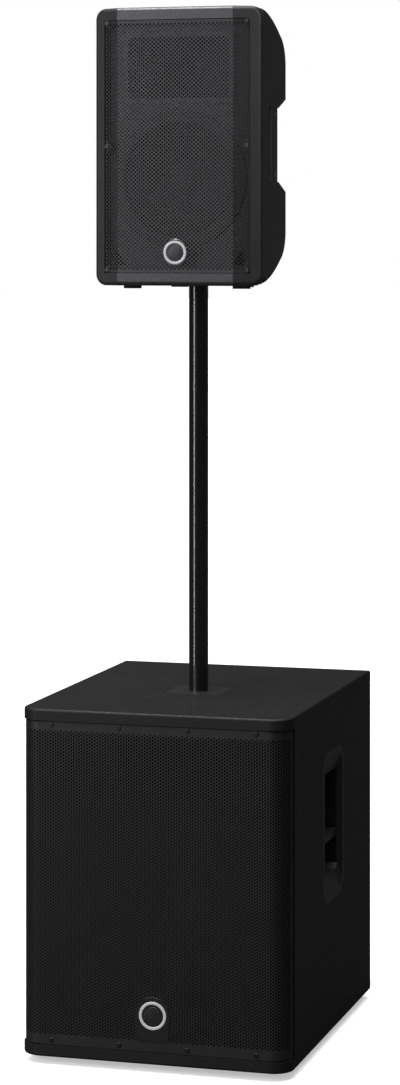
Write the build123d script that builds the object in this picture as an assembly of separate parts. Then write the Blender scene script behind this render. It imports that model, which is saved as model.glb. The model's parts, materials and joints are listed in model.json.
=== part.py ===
from build123d import *
from math import cos, radians, sin
import os

# A powered PA stack: a 15-inch subwoofer, a speaker pole and a 10-inch two-way speaker.
# Millimetres. +X is right seen from the front, the fronts face -Y, +Z is up.
# The origin is at the centre of the stack's bounding box, on the floor.

# ---- Driving dimensions: subwoofer ----
SUB_W = 485.0
SUB_D = 614.0
SUB_H = 602.0               # cabinet without its feet
FOOT_H = 14.0
SUB_CORNER_R = 36.0         # front vertical corners
CAP_T = 20.0                # top and bottom panels
PLY_T = 15.0                # side and rear panels
BAFFLE_T = 18.0
EDGE_R = 4.0
SIDE_FRONT = 37.0           # the side panels start this far behind the front
BAFFLE_SET = 41.0           # and the baffle this far
REAR_SET = 12.0             # the rear panel lies this deep inside the rim
SHEET_T = 1.5               # grille steel
GRILLE_INSET = 2.5
SEAM = 2.0
SCREW_R = 2.1               # wood screws of the handle cups and the pole plate

FRONT = -SUB_D / 2
REAR = SUB_D / 2
CAB_BOTTOM = FOOT_H
CAB_TOP = FOOT_H + SUB_H
INSIDE_LOW = CAB_BOTTOM + CAP_T
INSIDE_HIGH = CAB_TOP - CAP_T
INSIDE_X = SUB_W / 2 - PLY_T
BAFFLE_Y = FRONT + BAFFLE_SET
REAR_PANEL_OUT = REAR - REAR_SET

# ---- Driving dimensions: pole ----
POLE_R = 17.5
POLE_WALL = 2.0
POLE_Y = FRONT + 286.0
POLE_FIT = 0.08             # radial running clearance in both sockets
SUB_SOCKET_DEPTH = 100.0
TOP_SOCKET_DEPTH = 85.0
POLE_VISIBLE = 732.0
PLUG_T = 2.0

POLE_BOTTOM = CAB_TOP - SUB_SOCKET_DEPTH
TOP_BOTTOM = CAB_TOP + POLE_VISIBLE
POLE_TOP = TOP_BOTTOM + TOP_SOCKET_DEPTH - 0.5

# ---- Driving dimensions: full-range speaker ----
TOP_W = 306.0
TOP_H = 491.0
TOP_D = 289.0
TOP_FRONT = FRONT + 134.0
TOP_CORNER_R = 20.0
FACET_X = 106.0             # half width of the middle facet of the front
FACET_DROP = 22.0           # the outer facets fall back this far
SHELL_T = 4.0
SPLIT = 44.0                # depth of the seam between front and rear mouldings
CHEEK_D = 196.0             # depth of the flat side walls
CHEEK_DROP = 86.0           # the side walls' outline falls this far at the rear
CHEEK_ROOT_X = 80.0         # where the cheeks run into the spine
SPINE_FRONT_X = 122.0       # half width of the flat-topped spine, front and rear
SPINE_REAR_X = 84.0
SPINE_R = 10.0              # rounding of the spine's long edges
RIM_R = 8.0                 # rounding of the front frame's rim
GRILLE_X = 133.5
GRILLE_LOW = 22.0
GRILLE_HIGH = 469.0
GRILLE_SET = 3.0
TOP_SHEET_T = 1.3
WALL_FRONT = 28.0           # front and back of the baffle wall
WALL_BACK = 34.0
HORN_Z = 385.0
HORN_W = 206.0
HORN_H = 128.0
WOOFER_Z = 188.0

# ---- Drivers: frame radius, cut-out radius, cone radius, coil radius, depths behind the frame ----
SUB_WOOFER = dict(frame=192.5, hole=178.0, cone=150.0, coil=39.0, flange=7.0, basket=112.0, magnet_r=90.0,
                  magnet_h=50.0, travel=8.0)
TOP_WOOFER = dict(frame=123.0, hole=112.0, cone=97.0, coil=25.0, flange=5.0, basket=76.0, magnet_r=56.0,
                  magnet_h=38.0, travel=5.0)
SUB_WOOFER_Z = 380.0
PORT_X = 140.0
PORT_Z = 118.0
PORT_R = 48.0

# ---- Side handle cups of the subwoofer ----
CUP_Y = FRONT + 320.0
CUP_Z = CAB_BOTTOM + 367.0
CUP_FLANGE = (158.0, 270.0, 24.0)
CUP_PANEL_HOLE = (140.0, 252.0, 17.0)
CUP_RIM = (134.0, 246.0, 16.0)
CUP_MOUTH = (126.0, 184.0, 10.0)
CUP_WALL = 3.0
CUP_DEPTH = 72.0

os.makedirs("parts", exist_ok=True)


def save(name, shape):
    """Write one sub-part. A list is a group of identical separate solids."""
    if isinstance(shape, (list, tuple)):
        shape = Compound(children=list(shape))
    export_step(shape, f"parts/{name}.step")


def block(x0, x1, y0, y1, z0, z1):
    """A box between two corners."""
    size = Box(x1 - x0, y1 - y0, z1 - z0)
    return Pos((x0 + x1) / 2, (y0 + y1) / 2, (z0 + z1) / 2) * size


def rod(r, y0, y1, x=0.0, z=0.0):
    """A round bar along Y."""
    return Pos(x, (y0 + y1) / 2, z) * Rot(90, 0, 0) * Cylinder(r, y1 - y0)


def post(r, z0, z1, x=0.0, y=0.0):
    """A round bar along Z."""
    return Pos(x, y, (z0 + z1) / 2) * Cylinder(r, z1 - z0)


def turned(profile, z, x=0.0):
    """A body of revolution about an axis along Y; the profile's points are (radius, y)."""
    face = make_face(Polyline(*[(r, y) for r, y in profile], close=True))
    return Pos(x, 0, z) * revolve(face, Axis.Y)


def side_prism(points, x0, x1):
    """A prism along X over an outline of (y, z) points."""
    face = make_face(Polyline(*[(0, y, z) for y, z in points], close=True))
    return Pos(x0, 0, 0) * extrude(face, x1 - x0, dir=(1, 0, 0))


def octagon(width, height, cut):
    """Corner points of a rectangle with cut corners, centred on the handle cup."""
    w, h = width / 2, height / 2
    points = [(w - cut, h), (w, h - cut), (w, cut - h), (w - cut, -h)]
    points += [(-y, -z) for y, z in points]
    return [(CUP_Y + y, CUP_Z + z) for y, z in points]


def pan_screw(x, y_head, z, length=16.0, head_r=4.2, head_h=1.6, shank_r=1.9, direction=-1):
    """A pan-head screw along Y whose head's underside is at y_head; direction is where the head points."""
    head = Pos(x, y_head + direction * head_h / 2, z) * Rot(90, 0, 0) * Cylinder(head_r, head_h)
    top = head.faces().sort_by(Axis.Y)[0 if direction < 0 else -1]
    head = fillet(top.edges(), head_h * 0.5)
    slot_y = y_head + direction * head_h
    slot = Pos(x, slot_y, z) * (Box(head_r, 1.4, 0.9) + Box(0.9, 1.4, head_r))
    shank = rod(shank_r, min(y_head, y_head - direction * length), max(y_head, y_head - direction * length), x, z)
    return head + shank - slot


# ================= Subwoofer cabinet =================

def footprint(inset, back):
    """The cabinet's plan outline with rounded front corners, inset from the outside and cut off at back."""
    front = FRONT + inset
    plan = Pos(0, (front + REAR) / 2) * Rectangle(SUB_W - 2 * inset, REAR - front)
    plan = fillet(plan.vertices().group_by(Axis.Y)[0], SUB_CORNER_R - inset)
    return plan & Pos(0, (FRONT + back) / 2) * Rectangle(SUB_W + 2, back - FRONT)


def cap_panel(low, outer_is_up):
    """The top or bottom plywood panel, its outer edges rounded."""
    panel = Pos(0, 0, low) * extrude(footprint(0, REAR), CAP_T)
    outer = panel.faces().sort_by(Axis.Z)[-1 if outer_is_up else 0]
    return fillet(outer.edges(), EDGE_R)


PLATE_W, PLATE_D, PLATE_T = 104.0, 92.0, 5.0
SOCKET_WALL = 4.0


def top_panel():
    panel = cap_panel(INSIDE_HIGH, True)
    rebate = Pos(0, POLE_Y, CAB_TOP - PLATE_T / 2) * Box(PLATE_W + 0.6, PLATE_D + 0.6, PLATE_T)
    bore = post(POLE_R + SOCKET_WALL + 1.0, INSIDE_HIGH - 1, CAB_TOP + 1, 0, POLE_Y)
    panel = panel - rebate - bore
    for x, y in plate_screw_places():
        panel -= post(SCREW_R, INSIDE_HIGH - 1, CAB_TOP, x, y)
    return panel


def bottom_panel():
    return cap_panel(CAB_BOTTOM, False)


def side_panel(side):
    """A side panel with the rebated opening for its handle cup."""
    inner, outer = side * INSIDE_X, side * SUB_W / 2
    panel = block(min(inner, outer), max(inner, outer), FRONT + SIDE_FRONT, REAR, INSIDE_LOW, INSIDE_HIGH)
    through = side_prism(octagon(*CUP_PANEL_HOLE), -SUB_W, SUB_W)
    rebate_in = side * (SUB_W / 2 - CUP_WALL)
    rebate = side_prism(octagon(*CUP_FLANGE), min(rebate_in, 2 * outer), max(rebate_in, 2 * outer))
    keep_side = block(min(0, 2 * outer), max(0, 2 * outer), -SUB_D, SUB_D, 0, 2 * SUB_H)
    panel = panel - (through & keep_side) - rebate
    for y, z in cup_screw_places():
        panel -= Pos(outer, y, z) * Rot(0, 90, 0) * Cylinder(SCREW_R, 3 * PLY_T)
    return panel


AMP_W, AMP_LOW, AMP_HIGH, AMP_T = 300.0, 110.0, 510.0, 3.0
AMP_HOLE_MARGIN = 14.0
AMP_PLATE_IN = REAR_PANEL_OUT
AMP_PLATE_OUT = REAR_PANEL_OUT + AMP_T


def rear_panel():
    panel = block(-INSIDE_X, INSIDE_X, REAR_PANEL_OUT - PLY_T, REAR_PANEL_OUT, INSIDE_LOW, INSIDE_HIGH)
    half = AMP_W / 2 - AMP_HOLE_MARGIN
    opening = block(-half, half, REAR_PANEL_OUT - 50, REAR + 50, AMP_LOW + AMP_HOLE_MARGIN,
                    AMP_HIGH - AMP_HOLE_MARGIN)
    panel -= opening
    for x, z in amp_screw_places():
        panel -= rod(1.9, REAR_PANEL_OUT - PLY_T - 1, REAR, x, z)
    return panel


LEDGE_H = 20.0
GRILLE_Y = FRONT + GRILLE_INSET


def baffle():
    """The driver board with the ledges the grille screws bite into."""
    board = block(-INSIDE_X, INSIDE_X, BAFFLE_Y, BAFFLE_Y + BAFFLE_T, INSIDE_LOW, INSIDE_HIGH)
    ledge_x = SUB_W / 2 - SUB_CORNER_R - 2
    for low in (INSIDE_LOW, INSIDE_HIGH - LEDGE_H):
        board += block(-ledge_x, ledge_x, GRILLE_Y + SHEET_T, BAFFLE_Y, low, low + LEDGE_H)
    board -= rod(SUB_WOOFER["hole"], FRONT - 1, 0, 0, SUB_WOOFER_Z)
    for x in (-PORT_X, PORT_X):
        board -= rod(PORT_R + 4.0, FRONT - 1, 0, x, PORT_Z)
    for x, z in grille_screw_places():
        board -= rod(1.9, FRONT - 1, BAFFLE_Y, x, z)
    return board


def brace():
    """A window brace between the side panels, behind the woofer's basket."""
    y0 = 150.0
    ring = block(-INSIDE_X, INSIDE_X, y0, y0 + PLY_T, INSIDE_LOW, INSIDE_HIGH)
    window = Rot(90, 0, 0) * RectangleRounded(2 * INSIDE_X - 130, INSIDE_HIGH - INSIDE_LOW - 130, 40)
    mid = (INSIDE_LOW + INSIDE_HIGH) / 2
    cut = Pos(0, y0 + PLY_T + 5, mid) * extrude(window, PLY_T + 10)
    return ring - cut


def grille_screw_places():
    """Centres (x, z) of the eight grille screws."""
    spread = 122.4
    rows = (INSIDE_HIGH - 7.0, INSIDE_LOW + 9.5)
    return [(x * spread, z) for z in rows for x in (-1.5, -0.5, 0.5, 1.5)]


def sub_grille():
    """The steel sheet bent round both front corners."""
    height = INSIDE_HIGH - INSIDE_LOW - 2 * SEAM
    back = FRONT + SIDE_FRONT - SEAM
    sheet = footprint(GRILLE_INSET, back) - footprint(GRILLE_INSET + SHEET_T, back + 1)
    solid = Pos(0, 0, INSIDE_LOW + SEAM) * extrude(sheet, height)
    for x, z in grille_screw_places():
        solid -= rod(2.0, FRONT - 1, BAFFLE_Y, x, z)
    return solid


def sub_grille_foam():
    """Acoustic foam behind the perforated field, between the two ledges."""
    thickness = 5.0
    inset = GRILLE_INSET + SHEET_T
    back = FRONT + SIDE_FRONT - SEAM
    sheet = footprint(inset, back) - footprint(inset + thickness, back + 1)
    low = INSIDE_LOW + LEDGE_H
    return Pos(0, 0, low) * extrude(sheet, INSIDE_HIGH - LEDGE_H - low)


BADGE_Z = 98.0
BADGE_R = 24.4


def sub_badge():
    """A plain backing plate with a round top and a raised ring; it carries no mark."""
    plate_t, ring_t = 1.2, 1.1
    half, low = 28.5, 53.0
    back = GRILLE_Y
    plate = block(-half, half, back - plate_t, back, low, BADGE_Z)
    plate += rod(half + 1.5, back - plate_t, back, 0, BADGE_Z + 2)
    ring = rod(BADGE_R, back - plate_t - ring_t, back - plate_t, 0, BADGE_Z)
    ring -= rod(BADGE_R - 5.5, FRONT - 5, back - plate_t, 0, BADGE_Z)
    return plate + ring


def port_tube(x):
    """A flared reflex port."""
    lip = PORT_R + 14.0
    y0 = BAFFLE_Y
    outer = [(PORT_R + 10, y0 - 3), (lip, y0 - 3), (lip, y0), (PORT_R + 3, y0), (PORT_R + 3, y0 + 175),
             (PORT_R, y0 + 175), (PORT_R, y0 + 16), (PORT_R + 2, y0 + 8), (PORT_R + 5, y0 + 2)]
    return turned(outer, PORT_Z, x)


def handle_cup(side):
    """A moulded cup: flange, sloping funnel, deep pocket and a web across it."""
    out = SUB_W / 2
    funnel = 10.0
    flange = side_prism(octagon(*CUP_FLANGE), out - CUP_WALL, out)
    grown = tuple(v + 2 * CUP_WALL for v in CUP_MOUTH[:2]) + (CUP_MOUTH[2] + CUP_WALL,)
    hull = loft_octagons(CUP_RIM, out - CUP_WALL, grown, out - funnel - CUP_WALL)
    pocket = side_prism(octagon(*grown), out - CUP_DEPTH, out - funnel - CUP_WALL)
    cup = flange + hull + pocket
    cup -= loft_octagons(CUP_RIM, out + 0.01, CUP_MOUTH, out - funnel)
    cup -= side_prism(octagon(*CUP_MOUTH), out - CUP_DEPTH + CUP_WALL, out - funnel + 0.01)
    half, low, high = CUP_MOUTH[0] / 2 + 1, CUP_Z - 32.5, CUP_Z - 19.5
    web = side_prism([(CUP_Y - half, low), (CUP_Y + half, low), (CUP_Y + half, high), (CUP_Y - half, high)],
                     out - CUP_DEPTH + 1, out - funnel - 1)
    cup += web
    for y, z in cup_screw_places():
        cup -= Pos(out - CUP_WALL, y, z) * Rot(0, 90, 0) * Cylinder(SCREW_R, 30)
    return cup if side > 0 else mirror(cup, Plane.YZ)


def loft_octagons(first, x_first, second, x_second):
    """A ruled loft between two cup outlines."""
    faces = []
    for outline, x in ((first, x_first), (second, x_second)):
        faces.append(make_face(Polyline(*[(x, y, z) for y, z in octagon(*outline)], close=True)))
    return loft(faces, ruled=True)


def cup_screw_places():
    """Two screws on each long side of the flange."""
    y = CUP_FLANGE[0] / 2 - 6.0
    return [(CUP_Y + a * y, CUP_Z + b * 78.0) for a in (-1, 1) for b in (-1, 1)]


def cup_screws():
    """Countersunk-look screws, flush with the flange."""
    screws = []
    for side in (-1, 1):
        for y, z in cup_screw_places():
            shank = Pos(side * (SUB_W / 2 - 9), y, z) * Rot(0, 90, 0) * Cylinder(SCREW_R, 17)
            screws.append(shank)
    return screws


def pole_socket():
    """Flush plate and blind tube that the pole drops into."""
    plate = Pos(0, POLE_Y, CAB_TOP - PLATE_T / 2) * Box(PLATE_W, PLATE_D, PLATE_T)
    plate = fillet(plate.edges().filter_by(Axis.Z), 8)
    tube = post(POLE_R + SOCKET_WALL, POLE_BOTTOM - 4, CAB_TOP, 0, POLE_Y)
    bore = post(POLE_R + POLE_FIT, POLE_BOTTOM, CAB_TOP + 1, 0, POLE_Y)
    socket = plate + tube - bore
    for x, y in plate_screw_places():
        socket -= post(SCREW_R, CAB_TOP - 20, CAB_TOP + 1, x, y)
    return socket


def plate_screw_places():
    return [(a * (PLATE_W / 2 - 9), POLE_Y + b * (PLATE_D / 2 - 9)) for a in (-1, 1) for b in (-1, 1)]


def foot(x, y):
    """A rubber foot, domed at its rim."""
    body = post(22.0, 0, FOOT_H, x, y)
    return fillet(body.edges().group_by(Axis.Z)[0], 3)


# ================= Drivers =================

def basket(size, y, z):
    """Pressed frame: flange, tapered ribs and the plate the magnet hangs on. y is the flange's back."""
    front, hole, coil = y - size["flange"], size["hole"] - 2, size["coil"]
    back = y + size["basket"]
    throat = size["magnet_r"] * 0.86
    profile = [(size["frame"], front), (size["frame"], y), (hole, y), (throat, back), (coil + 6, back),
               (coil + 6, back - 4), (throat - 4, back - 4), (hole - 8, y + 2), (hole - 8, front)]
    body = turned(profile, z)
    windows = []
    for k in range(6):
        window = Box(size["frame"] * 0.36, size["basket"] * 0.55, size["frame"] * 2)
        window = Pos(0, (y + back) / 2 + 2, size["frame"]) * window
        windows.append(Pos(0, 0, z) * Rot(0, 60 * k, 0) * window)
    for cut in windows:
        body -= cut
    return body


def magnet(size, y, z):
    """Ferrite ring, plates and pole piece with the voice-coil gap, as one glued motor."""
    start = y + size["basket"]
    end = start + size["magnet_h"]
    coil, outer = size["coil"], size["magnet_r"]
    body = [(6, start), (coil - 2, start), (coil - 2, end - 12), (coil + 3, end - 12), (coil + 3, start),
            (outer * 0.88, start), (outer * 0.88, start + 8), (outer, start + 10), (outer, end - 12),
            (outer * 0.9, end - 10), (outer * 0.9, end), (6, end)]
    return turned(body, z)


def cone(size, y, z):
    """Paper cone, former and dust cap: everything that moves with the voice coil."""
    front = y - size["flange"] + 2
    coil, rim = size["coil"], size["cone"]
    neck = y + size["basket"] * 0.5
    end = y + size["basket"] + size["magnet_h"] - 12 - size["travel"] - 4
    t = 1.2
    profile = [(rim, front), (rim, front + 1.5), (coil + t, neck + 1.5), (coil + t, end), (coil, end),
               (coil, neck - 5), (coil * 0.7, neck - 11), (0, neck - 14), (0, neck - 15.2),
               (coil * 0.72, neck - 12.4), (coil + 2.5, neck - 5), (coil + 6, neck - 3.5)]
    return turned(profile, z)


def surround(size, y, z):
    """Half-roll edge between cone and frame."""
    front = y - size["flange"] + 2
    inner, outer = size["cone"], size["hole"] - 10
    mid, r = (inner + outer) / 2, (outer - inner) / 2
    t = 1.4
    arc = [(mid + r * cos(radians(a)), front - 0.7 * r * sin(radians(a))) for a in range(0, 181, 15)]
    under = [(mid + (r - t) * cos(radians(a)), front + t - 0.7 * r * sin(radians(a))) for a in range(180, -1, -15)]
    return turned(arc + under, z)


def spider(size, y, z):
    """Flat centring ring between the former and the frame."""
    level = y + size["basket"] * 0.5 + 10
    inner = size["coil"] + 1.2
    return turned([(inner, level), (size["coil"] + 24, level), (size["coil"] + 24, level + 1.2), (inner, level + 1.2)], z)


# ================= Rear electronics of the subwoofer =================

KNOB_X, KNOB_Z = 60.0, 452.0
POLARITY_X, FILTER_X, SWITCH_Z = -20.0, -70.0, 452.0
INLET_Z, INLET_X, ROCKER_X = 150.0, -80.0, -20.0
SHAFT_R = 3.0
XLR_PLACES = [(x, z) for z in (395.0, 350.0) for x in (-70.0, -20.0)]


def sub_amp_plate():
    plate = block(-AMP_W / 2, AMP_W / 2, AMP_PLATE_IN, AMP_PLATE_OUT, AMP_LOW, AMP_HIGH)
    plate = fillet(plate.edges().filter_by(Axis.Y), 8)
    for x, z in XLR_PLACES:
        plate -= block(x - 12, x + 12, AMP_PLATE_IN - 1, AMP_PLATE_OUT + 1, z - 12, z + 12)
    plate -= rod(SHAFT_R + 0.1, AMP_PLATE_IN - 1, AMP_PLATE_OUT + 1, KNOB_X, KNOB_Z)
    for x in (POLARITY_X, FILTER_X):
        plate -= block(x - 5, x + 5, AMP_PLATE_IN - 1, AMP_PLATE_OUT + 1, SWITCH_Z - 2.2, SWITCH_Z + 2.2)
    plate -= block(INLET_X - 14, INLET_X + 14, AMP_PLATE_IN - 1, AMP_PLATE_OUT + 1, INLET_Z - 10, INLET_Z + 10)
    plate -= block(ROCKER_X - 8, ROCKER_X + 8, AMP_PLATE_IN - 1, AMP_PLATE_OUT + 1, INLET_Z - 11.6, INLET_Z + 11.6)
    for x, z in amp_screw_places():
        plate -= rod(1.9, AMP_PLATE_IN - 1, AMP_PLATE_OUT + 1, x, z)
    return plate


def amp_screw_places():
    x, low, high = AMP_W / 2 - 7, AMP_LOW + 7, AMP_HIGH - 7
    return [(a * x, z) for a in (-1, 1) for z in (low, (low + high) / 2, high)]


def heatsink(x0, x1, y0, y1, z0, z1, fins):
    """Extruded cooling fins on a base, running upwards."""
    base_t = 2.0
    body = block(x0, x1, y0, y0 + base_t, z0, z1)
    pitch = (x1 - x0 - base_t) / (fins - 1)
    for k in range(fins):
        body += block(x0 + k * pitch, x0 + k * pitch + base_t, y0 + base_t, y1, z0, z1)
    return body


def xlr_socket(x, z, inner_y, outer_y, r):
    """A panel socket in a square body, with its recessed contact chamber."""
    shell = block(x - r, x + r, inner_y, outer_y, z - r, z + r)
    flange = Pos(x, outer_y - 0.7, z) * Box(2 * r + 4, 1.4, 2 * r + 7)
    chamber = rod(r - 3.5, inner_y + 3, outer_y + 1, x, z)
    body = shell + flange - chamber
    for k in range(3):
        angle = radians(90 + 120 * k)
        body += rod(1.2, inner_y + 2, outer_y - 6, x + 4.2 * cos(angle), z + 4.2 * sin(angle))
    return body


def power_inlet(x, z, plate_in, plate_out):
    """A panel power inlet with a rectangular chamber and three blades."""
    shell = block(x - 14, x + 14, plate_in - 22, plate_out + 2, z - 10, z + 10)
    flange = block(x - 17, x + 17, plate_out, plate_out + 2, z - 13, z + 13)
    chamber = block(x - 11.5, x + 11.5, plate_in - 18, plate_out + 3, z - 7.5, z + 7.5)
    body = shell + flange - chamber
    for dx, dz in ((-7, -2), (0, 2), (7, -2)):
        body += block(x + dx - 1, x + dx + 1, plate_in - 19, plate_out - 5, z + dz - 2.5, z + dz + 2.5)
    return body


def knob(x, z, plate_in, plate_out, r, height):
    """A turned knob on its shaft, with a pointer groove."""
    cap_low = plate_out + 0.6
    cap = rod(r, cap_low, cap_low + height, x, z)
    cap = fillet(cap.faces().sort_by(Axis.Y)[-1].edges(), 1)
    for k in range(18):
        angle = radians(20 * k)
        cap -= rod(0.7, cap_low - 1, cap_low + height - 1.5, x + (r + 0.2) * cos(angle), z + (r + 0.2) * sin(angle))
    cap -= Pos(x, cap_low + height, z + r * 0.55) * Box(1.0, 0.8, r * 0.8)
    return cap + rod(SHAFT_R, plate_in - 6, cap_low, x, z)


def rocker(x, z, y_mid):
    """A rocker whose two halves meet at a shallow angle; it tips about its middle."""
    points = [(y_mid - 4.5, z - 8.0), (y_mid + 2.5, z - 10.6), (y_mid + 5.2, z - 10.6), (y_mid + 3.4, z),
              (y_mid + 5.2, z + 10.6), (y_mid + 2.5, z + 10.6), (y_mid - 4.5, z + 8.0)]
    return side_prism(points, x - 7.6, x + 7.6)


def slide_switch(x, z, plate_in, plate_out):
    """The moving lever of a slide switch; it travels 4 mm along X."""
    lever = block(x - 4.6, x - 0.8, plate_in + 0.4, plate_out + 2.6, z - 1.9, z + 1.9)
    return lever + block(x - 4.6, x - 0.8, plate_in - 2.5, plate_in + 0.4, z - 1.4, z + 1.4)


def sub_amp_board():
    """Circuit board with its capacitors, coils and the two control pots, soldered into one unit."""
    y1 = AMP_PLATE_IN - 22
    board = block(-125, 125, y1 - 2, y1, 240, 480)
    for x, z, r in ((60, 305, 16), (95, 305, 16), (60, 265, 16), (95, 265, 16)):
        board += rod(r, y1 - 42, y1 - 2, x, z)
    for x, z in ((-80, 270), (-30, 270), (-80, 300), (-30, 300)):
        board += block(x - 15, x + 15, y1 - 26, y1 - 2, z - 11, z + 11)
    for x in (-105, 105):
        for z in (252, 465):
            board += rod(4, y1, AMP_PLATE_IN, x, z)
    pot = rod(9, AMP_PLATE_IN - 18, AMP_PLATE_IN, KNOB_X, KNOB_Z) - rod(SHAFT_R + 0.1, AMP_PLATE_IN - 8,
                                                                       AMP_PLATE_IN + 1, KNOB_X, KNOB_Z)
    board += pot + rod(3, y1 - 1, AMP_PLATE_IN - 17, KNOB_X, KNOB_Z)
    for x in (POLARITY_X, FILTER_X):
        case = block(x - 11, x + 11, y1, AMP_PLATE_IN, SWITCH_Z - 6, SWITCH_Z + 6)
        case -= block(x - 6, x + 6, AMP_PLATE_IN - 4, AMP_PLATE_IN + 1, SWITCH_Z - 3, SWITCH_Z + 3)
        board += case
    return board


def transformer():
    """Toroidal mains transformer bolted to the plate's lower half."""
    z, x = 180.0, 72.0
    ring = turned([(20, AMP_PLATE_IN - 52), (46, AMP_PLATE_IN - 52), (52, AMP_PLATE_IN - 46), (52, AMP_PLATE_IN - 7),
                   (46, AMP_PLATE_IN), (20, AMP_PLATE_IN)], z, x)
    return ring


# ================= Pole =================

def pole_plug(z, up):
    """End plug of the pole tube: a flange that shows and a ribbed stub inside."""
    low = z if up > 0 else z - PLUG_T
    stub_low = z - 18 if up > 0 else z
    plug = post(POLE_R, low, low + PLUG_T, 0, POLE_Y)
    return plug + post(POLE_R - POLE_WALL, stub_low, stub_low + 18, 0, POLE_Y)


def pole_tube():
    low, high = POLE_BOTTOM + PLUG_T, POLE_TOP - PLUG_T
    return post(POLE_R, low, high, 0, POLE_Y) - post(POLE_R - POLE_WALL, low - 1, high + 1, 0, POLE_Y)


# ================= Full-range speaker =================

def at_top(shape):
    """Move a shape from the speaker's own frame (y = depth, z from its base) into the stack's frame."""
    return Pos(0, TOP_FRONT, TOP_BOTTOM) * shape


def facet_depth(x):
    """Depth of the front's surface at a distance x from the middle."""
    return FACET_DROP * max(0.0, abs(x) - FACET_X) / (TOP_W / 2 - FACET_X)


def plan_region(half_width, near, far, push):
    """Plan area behind the faceted front, pushed back by push; a prism over the whole height."""
    points = [(-half_width, facet_depth(half_width) + push), (-FACET_X, push), (FACET_X, push),
              (half_width, facet_depth(half_width) + push), (half_width, far), (-half_width, far)]
    face = make_face(Polyline(*points, close=True))
    return Pos(0, 0, near) * extrude(face, TOP_H - 2 * near)


def cheek_outline(x, depth, drop, wall):
    """Side outline with two arcs above and below, in the plane at x."""
    start, top = FACET_DROP, TOP_H - wall
    knee_y, knee_z = depth - 37.5, TOP_H - 0.465 * drop - wall
    end_z = TOP_H - drop - wall
    lines = []
    for z in (lambda v: v, lambda v: TOP_H - v):
        lines.append(ThreePointArc((x, start, z(top)), (x, 0.5 * (start + knee_y), z(top - 0.33 * (top - knee_z))),
                                   (x, knee_y, z(knee_z))))
        lines.append(ThreePointArc((x, knee_y, z(knee_z)), (x, depth - 10.5, z(knee_z - 0.42 * (knee_z - end_z))),
                                   (x, depth, z(end_z))))
    lines.append(Line((x, depth, end_z), (x, depth, TOP_H - end_z)))
    lines.append(Line((x, start, top), (x, start, TOP_H - top)))
    return make_face(lines)


def rim_edges(slab):
    """The edges round the rim of the front, without its two creases."""
    near = RIM_R - 0.1
    edges = []
    for edge in slab.edges():
        middle, size = edge.center(), edge.bounding_box()
        on_rim = TOP_W / 2 - abs(middle.X) < near or middle.Z < near or TOP_H - middle.Z < near
        crease = size.max.X - size.min.X < 0.001 and abs(abs(middle.X) - FACET_X) < 0.001
        if size.max.Y < SPLIT - 1 and on_rim and not crease:
            edges.append(edge)
    return edges


def spine_edges(spine):
    """The spine's upright, sloping and rear edges."""
    edges = []
    for edge in spine.edges():
        size = edge.bounding_box()
        if size.min.Y > 200 or (size.max.Y > 200 and size.min.Y < 60):
            edges.append(edge)
    return edges


def speaker_form(wall):
    """The enclosure's outer form, or its hollow when wall is the wall thickness."""
    half = TOP_W / 2 - wall
    slab_face = Rot(90, 0, 0) * RectangleRounded(2 * half, TOP_H - 2 * wall, TOP_CORNER_R - wall)
    slab = Pos(0, 0, TOP_H / 2) * extrude(slab_face, -SPLIT)
    slab = slab & plan_region(half, 0, SPLIT + 1, wall)
    if wall == 0:
        slab = fillet(rim_edges(slab), RIM_R)
    spine_back = TOP_D - wall
    near, far = SPINE_FRONT_X - wall, SPINE_REAR_X - wall
    plan = make_face(Polyline((-near, SPLIT - 1), (near, SPLIT - 1), (far, spine_back), (-far, spine_back), close=True))
    spine = Pos(0, 0, wall) * extrude(plan, TOP_H - 2 * wall)
    rear_edges = spine.edges().group_by(Axis.Y)[-1].filter_by(Axis.X)
    spine = chamfer(rear_edges, 34)
    spine = fillet(spine_edges(spine), SPINE_R - wall)
    form = slab + spine
    for side in (-1, 1):
        faces = [cheek_outline(side * half, CHEEK_D - 8 - wall, CHEEK_DROP + 3, wall + 4),
                 cheek_outline(side * (half - 8), CHEEK_D - wall, CHEEK_DROP, wall),
                 cheek_outline(side * (CHEEK_ROOT_X - wall), 264 - wall, 58, wall)]
        cheek = loft(faces[:2], ruled=True) + loft(faces[1:], ruled=True)
        form += cheek - block(-TOP_W, TOP_W, -1, SPLIT - 0.5, -1, TOP_H + 1)
    return form


POCKET_IN = 112.0
POCKET_FRONT = 74.0
POCKET_BACK = 137.0
POCKET_LOW, POCKET_HIGH = 184.0, 316.0
BAR_T = 22.0
BAR_FRONT = 97.0


def pocket(grow):
    """The hand pocket in the right cheek: square at the front, flaring open to the rear."""
    low, high = POCKET_LOW - grow, POCKET_HIGH + grow
    flare = 22.0
    points = [(POCKET_FRONT - grow, low), (POCKET_BACK, low), (CHEEK_D + 6, low - flare), (TOP_D, low - flare),
              (TOP_D, high + flare), (CHEEK_D + 6, high + flare), (POCKET_BACK, high), (POCKET_FRONT - grow, high)]
    return side_prism(points, POCKET_IN - grow, TOP_W)


TOP_AMP_X, TOP_AMP_LOW, TOP_AMP_HIGH = 70.0, 96.0, 436.0
TOP_AMP_OUT = TOP_D - 10.0
TOP_AMP_T = 2.5
TOP_AMP_IN = TOP_AMP_OUT - TOP_AMP_T


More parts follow.
